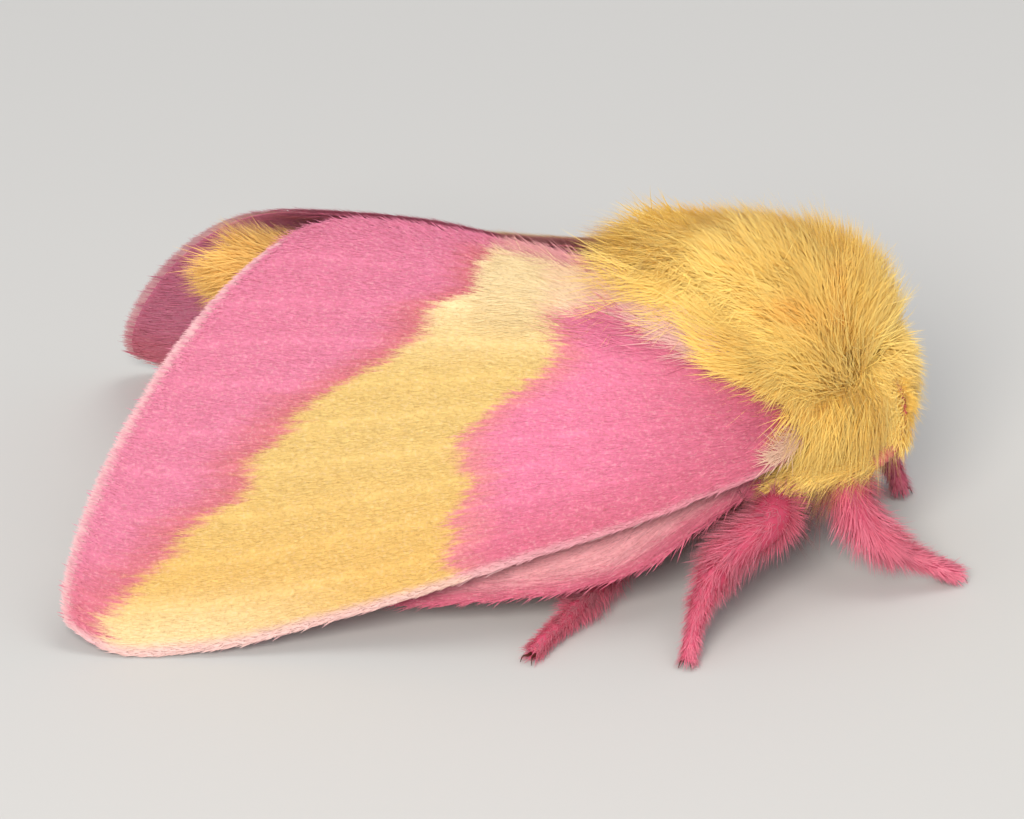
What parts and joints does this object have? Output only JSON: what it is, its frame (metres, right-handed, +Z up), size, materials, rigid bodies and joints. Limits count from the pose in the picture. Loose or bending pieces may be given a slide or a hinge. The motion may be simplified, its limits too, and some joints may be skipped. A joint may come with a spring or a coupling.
{
  "type": "rosy maple moth",
  "caption": "Still life-size model of a woolly pink and yellow moth at rest, its roof-like wings folded over the body and its feet flat on the ground.",
  "frame": {"origin": "middle of the bounding box's base, on the ground the feet stand on", "axes": "+X from the tail to the head, +Y to the moth's left, +Z up"},
  "size_m": [0.0243, 0.0166, 0.0096],
  "materials": {
    "yellow_coat": "woolly golden yellow hair",
    "rose_coat": "rose pink hair",
    "wing_scales": "matt scales, rose pink with a yellow band",
    "eye": "dark and glossy"
  },
  "bodies": {
    "root": {"thorax": "yellow_coat", "head": "yellow_coat", "abdomen": "yellow_coat", "forewing_left": "wing_scales", "forewing_right": "wing_scales", "hindwing_left": "wing_scales", "hindwing_right": "wing_scales", "eye_left": "eye", "eye_right": "eye", "antenna_left": "rose_coat", "antenna_right": "rose_coat", "leg_fore_left": "rose_coat", "leg_fore_right": "rose_coat", "leg_mid_left": "rose_coat", "leg_mid_right": "rose_coat", "leg_hind_left": "rose_coat", "leg_hind_right": "rose_coat"}
  },
  "joints": []
}
